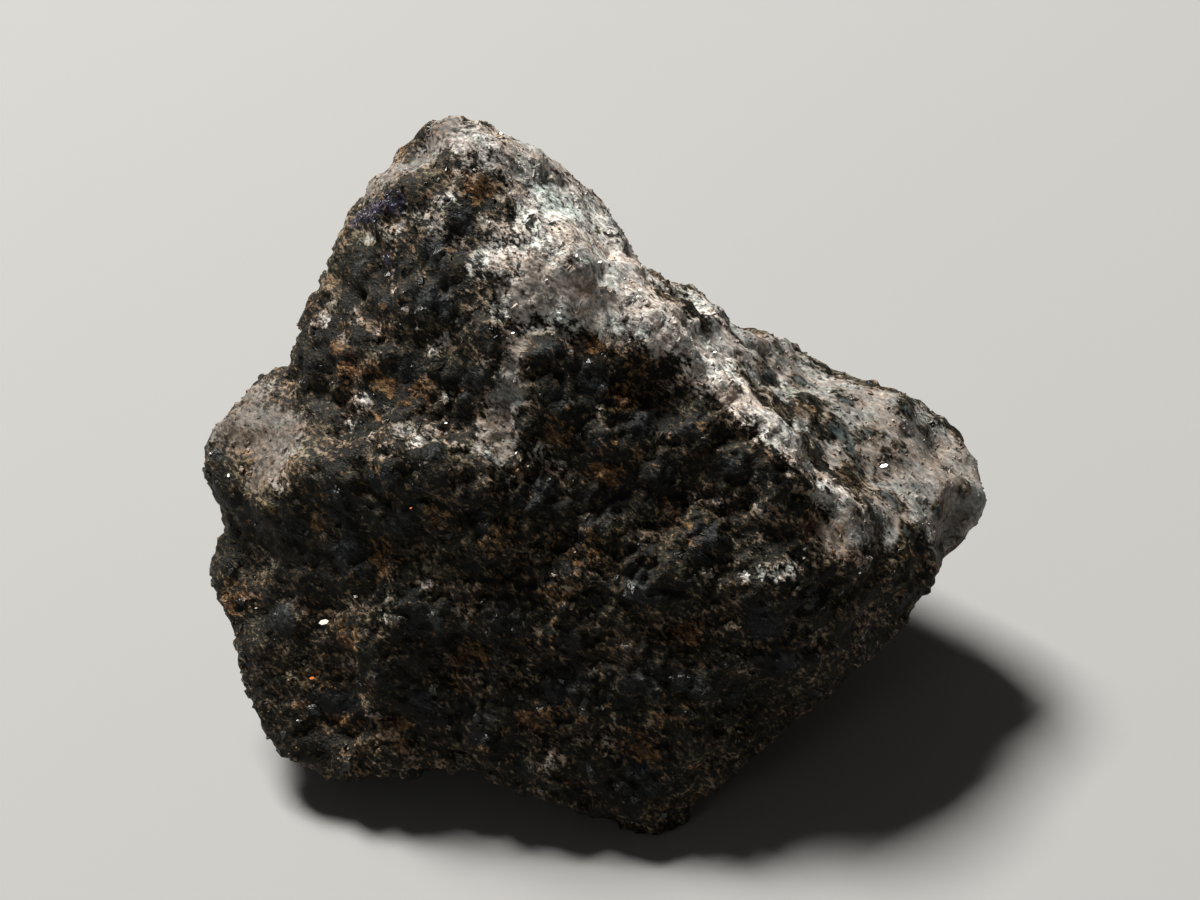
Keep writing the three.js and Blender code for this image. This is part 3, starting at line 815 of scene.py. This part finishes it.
# %% Make the two base shapes
def pebble_shape():
    """The regular solid of twenty triangles: the corners (0, 1, golden ratio), turned round and mirrored."""
    golden = (1 + 5**0.5) / 2
    signs = list(itertools.product((-1, 1), repeat=2))
    corners = np.array([np.roll([0, a, b * golden], turn) for turn in range(3) for a, b in signs])
    faces = []
    for triple in itertools.combinations(range(12), 3):
        a, b, c = corners[list(triple)]
        if max(np.linalg.norm(a - b), np.linalg.norm(b - c), np.linalg.norm(c - a)) < 2.01:
            faces.append(triple if np.dot(np.cross(b - a, c - a), a) > 0 else triple[::-1])
    return corners / np.linalg.norm(corners[0]), np.array(faces)


def block_shape():
    """A cube of six faces, made of the box lattice with one cell a side."""
    corners, faces, *_ = box_lattice(1)
    return (corners * 2.0 - 1) / 3**0.5, faces


PEBBLE, BLOCK = pebble_shape(), block_shape()
print("faces of a pebble and a block:", len(PEBBLE[1]), len(BLOCK[1]))

# %% Scatter grains over the skin
FEET_HEIGHT = 0.05  # mm: grains keep off the faces that lie below this height, which are the feet
UNEVEN = 0.24  # the range over which a grain's corners move in or out, as a share of its radius
MOSTLY_SMALL = 1.6  # the higher, the fewer large grains


def random_turns(rng, count):
    """Rotation matrices of random unit quaternions."""
    w, x, y, z = rng.normal(size=(4, count))
    w, x, y, z = np.array([w, x, y, z]) / np.sqrt(w * w + x * x + y * y + z * z)
    rows = [
        [1 - 2 * (y * y + z * z), 2 * (x * y - z * w), 2 * (x * z + y * w)],
        [2 * (x * y + z * w), 1 - 2 * (x * x + z * z), 2 * (y * z - x * w)],
        [2 * (x * z - y * w), 2 * (y * z + x * w), 1 - 2 * (x * x + y * y)],
    ]
    return np.moveaxis(np.array(rows), -1, 0)


def surface_places(rng, count, chance):
    """Random points of the skin, their normals and shares. A face is drawn by its area times its chance."""
    a, b, c, d = (skin[skin_faces[:, k]] for k in range(4))
    areas = np.linalg.norm(np.cross(c - a, d - b), axis=1) / 2
    odds = areas * chance[skin_faces].mean(1) * (skin[skin_faces][:, :, 2].max(1) > FEET_HEIGHT)
    drawn = rng.choice(len(skin_faces), count, p=odds / odds.sum())
    s, t = rng.random((2, count, 1))
    rows = [grid[skin_faces[drawn]] for grid in (skin, skin_normals)]
    points, normals = [
        (g[:, 0] * (1 - s) + g[:, 1] * s) * (1 - t) + (g[:, 3] * (1 - s) + g[:, 2] * s) * t for g in rows
    ]
    there = {share: values[skin_faces[drawn, 0]] for share, values in skin_shares.items()}
    return points, unit(normals), there


def own_cells(count, edges):
    """A flat place for each corner of each face: the faces lie in the cells of one big square grid."""
    columns = int(np.ceil(count**0.5))
    cell = np.stack(np.divmod(np.arange(count), columns), -1)[:, None]
    ring = np.array([(0.1, 0.1), (0.9, 0.1), (0.9, 0.9), (0.1, 0.9)])[:edges]
    return (cell + ring) / columns


def grains(name, shape, count, size, stretch, depth, chance, material, seed):
    """`count` grains whose radii run from size[0] to size[1] mm, mostly small. Each axis is scaled by a
    random factor between stretch and 1, and the middle is pressed in by `depth` radii."""
    rng = np.random.default_rng(seed)
    places, normals, per_grain = surface_places(rng, count, chance)
    radius = size[0] * (size[1] / size[0]) ** (rng.random(count) ** MOSTLY_SMALL)
    corners, faces = shape
    rough = corners * (1 + UNEVEN * (rng.random((count, len(corners), 3)) - 0.5))
    rough *= np.array(stretch) + (1 - np.array(stretch)) * rng.random((count, 1, 3))
    turned = np.einsum("nij,nkj->nki", random_turns(rng, count), rough)
    sunk = places - normals * (radius * rng.uniform(*depth, count))[:, None]
    points = sunk[:, None] + turned * radius[:, None, None]
    points[..., 2] = np.maximum(points[..., 2], 0)
    numbers = np.arange(count)[:, None, None] * len(corners) + faces
    per_grain["tone"] = 0.5 * per_grain["tone"] + 0.5 * rng.random(count)
    per_corner = {share: np.repeat(values, len(corners)) for share, values in per_grain.items()}
    numbers = numbers.reshape(-1, faces.shape[1])
    make_piece(name, points.reshape(-1, 3), numbers, material, per_corner, own_cells(*numbers.shape))
    print(name, count, "grains", len(numbers) * (faces.shape[1] - 2), "triangles")


# %% Grow the grains
ROUND, CHUNK, FLAKE = (0.6, 0.6, 0.6), (0.55, 0.7, 0.8), (0.15, 0.7, 0.8)
pale, rust = np.clip(skin_shares["pale"], 0, 1), skin_shares["rust"]
dark_chance = np.clip(1 - pale, 0.06, 1) * (1 - 0.6 * zones["calm"]) + 0.6 * zones["dark"]
grains("glassy_grains", PEBBLE, 6000, (0.16, 0.6), ROUND, (0.6, 0.95), dark_chance, glassy, seed=1)
grains("frosty_grains", PEBBLE, 7000, (0.08, 0.32), ROUND, (0.4, 0.9), 0.1 + pale, frosty, seed=2)
grains("feldspar_grains", BLOCK, 6000, (0.1, 0.4), CHUNK, (0.45, 0.9), 0.1 + 0.8 * pale, feldspar, seed=3)
grains("rusty_grains", BLOCK, 4000, (0.08, 0.32), CHUNK, (0.4, 0.9), 0.02 + rust**2, rusty, seed=4)
grains("mica_flakes", BLOCK, 3000, (0.08, 0.25), FLAKE, (0.1, 0.4), 0.15 + 0.6 * pale, mica, seed=5)
grains("violet_grains", PEBBLE, 120, (0.12, 0.3), ROUND, (0.4, 0.8), zones["violet"] ** 2, violet, seed=6)

# %% [markdown]
# ## Glints
# A flake of mica flashes when it happens to lie so that it mirrors a light to the eye. The photograph shows
# a few such flashes. Spots that glow by themselves would be bright from every side, and mica isn't. A
# mirror flashes when its normal is half-way between the directions to the eye and to the light, so each
# named flake is a thin plate turned that way. The places of the lights are therefore chosen here.

# %% Turn a few mica flakes to the light
WINDOW_PLACE, FILL_PLACE = np.array([-290, 330, 690]), np.array([-160, -220, 160])
GLINTS = [(324, 622, 0.25)]
FAINT_GLINTS = [
    (514, 477, 0.07), (256, 608, 0.08), (575, 552, 0.06), (684, 577, 0.05), (568, 406, 0.06),
    (277, 490, 0.06), (804, 558, 0.07), (860, 573, 0.06), (528, 466, 0.06), (747, 577, 0.06),
    (550, 479, 0.05),
]
ORANGE_GLINTS = [
    (312, 678, 0.13), (322, 686, 0.07), (411, 508, 0.07), (362, 319, 0.05), (362, 712, 0.05),
]
UPPER_GLINTS = [
    (884, 466, 0.2), (487, 264, 0.1), (513, 333, 0.08), (446, 423, 0.07), (600, 262, 0.1), (715, 352, 0.08),
    (425, 284, 0.07), (482, 329, 0.07), (640, 290, 0.09), (560, 215, 0.08), (776, 420, 0.07),
]
THIN = 0.15  # a flake's thickness as a share of its width


def glints(name, places, light_place, colour, roughness):
    """Thin six-sided plates at named places. Each one's normal is the sum of the unit directions to the
    camera and to the light, made one long. Its rim is a ring of six corners round that normal, at two
    heights, half as wide one way as the other."""
    middles = np.concatenate([on_stone([pixel]) for *pixel, _ in places])
    widths = np.array([width for *_, width in places])[:, None, None]
    normal = unit(unit(CAMERA_PLACE - middles) + unit(light_place - middles))
    along = unit(np.cross(normal, (0, 1, 0)))
    across = 0.5 * np.cross(normal, along)
    turn = (np.arange(6) / 6 * 2 * np.pi)[:, None]
    rim = along[:, None] * np.cos(turn) + across[:, None] * np.sin(turn)
    top, bottom = [rim + normal[:, None] * height for height in (THIN, -THIN)]
    points = middles[:, None] + np.concatenate([bottom, top], 1) * widths
    k = np.arange(6)
    walls = np.stack([k, (k + 1) % 6, (k + 1) % 6 + 6, k + 6], -1)
    lids = np.array([(6, 7, 8, 9), (9, 10, 11, 6), (3, 2, 1, 0), (0, 5, 4, 3)])
    faces = np.concatenate([walls, lids])
    numbers = (np.arange(len(middles))[:, None, None] * 12 + faces).reshape(-1, 4)
    recipe = Recipe(name, Metallic=1.0)
    material = recipe.finish((*colour, 1), roughness)
    make_piece(name, points.reshape(-1, 3), numbers, material, {}, own_cells(*numbers.shape))
    print(name, len(middles))


glints("clear_glints", GLINTS, FILL_PLACE, (0.95, 0.93, 0.78), 0.1)
glints("faint_glints", FAINT_GLINTS, FILL_PLACE, (0.55, 0.52, 0.45), 0.2)
glints("orange_glints", ORANGE_GLINTS, FILL_PLACE, (0.8, 0.25, 0.07), 0.15)
glints("upper_glints", UPPER_GLINTS, WINDOW_PLACE, (0.6, 0.62, 0.64), 0.6)

# %% [markdown]
# ## Floor and light
# The stone stands on a plain pale floor. One large soft light behind and above it, a little to the left,
# brings out the crest, the shelf and the ledge as in the photograph, and leaves the steep front in shade. A
# small lamp there would draw hard-edged shadows. A weaker one in front lifts the shade enough to read the
# grains.

# %% Lay the floor
FLOOR_REACH = 600.0
FLOOR_COLOUR = (0.31, 0.31, 0.305, 1)
floor_mesh = bpy.data.meshes.new("floor")
floor_ring = np.array([(-1, -1, 0), (1, -1, 0), (1, 1, 0), (-1, 1, 0)]) * FLOOR_REACH
floor_mesh.from_pydata(floor_ring * MM, [], [(0, 1, 2, 3)])
floor_mesh.materials.append(Recipe("pale_floor").finish(FLOOR_COLOUR, roughness=0.9))
floor = bpy.data.objects.new("floor", floor_mesh)
bpy.context.collection.objects.link(floor)
print("the floor is a square of", 2 * FLOOR_REACH, "mm a side")

# %% Light the scene
STONE_MIDDLE = Vector((0, 0, 12))


def soft_light(name, place, width, power, colour=(1, 1, 1)):
    """A square area light that faces the stone's middle. Power is in watts."""
    data = bpy.data.lights.new(name, "AREA")
    data.size = width * MM
    data.energy = power
    data.color = colour
    light = bpy.data.objects.new(name, data)
    light.location = np.array(place) * MM
    light.rotation_euler = (STONE_MIDDLE - Vector(place)).to_track_quat("-Z", "Y").to_euler()
    bpy.context.collection.objects.link(light)
    print(name, "light:", width, "mm wide,", power, "W")


soft_light("window", WINDOW_PLACE, width=240, power=15, colour=(1, 0.98, 0.945))
soft_light("fill", FILL_PLACE, width=80, power=0.022)
world = bpy.data.worlds.new("studio")
world.use_nodes = True
world.node_tree.nodes["Background"].inputs["Color"].default_value = (1.0, 0.97, 0.92, 1)
world.node_tree.nodes["Background"].inputs["Strength"].default_value = 0.05
bpy.context.scene.world = world
bpy.context.scene.view_settings.view_transform = "Standard"
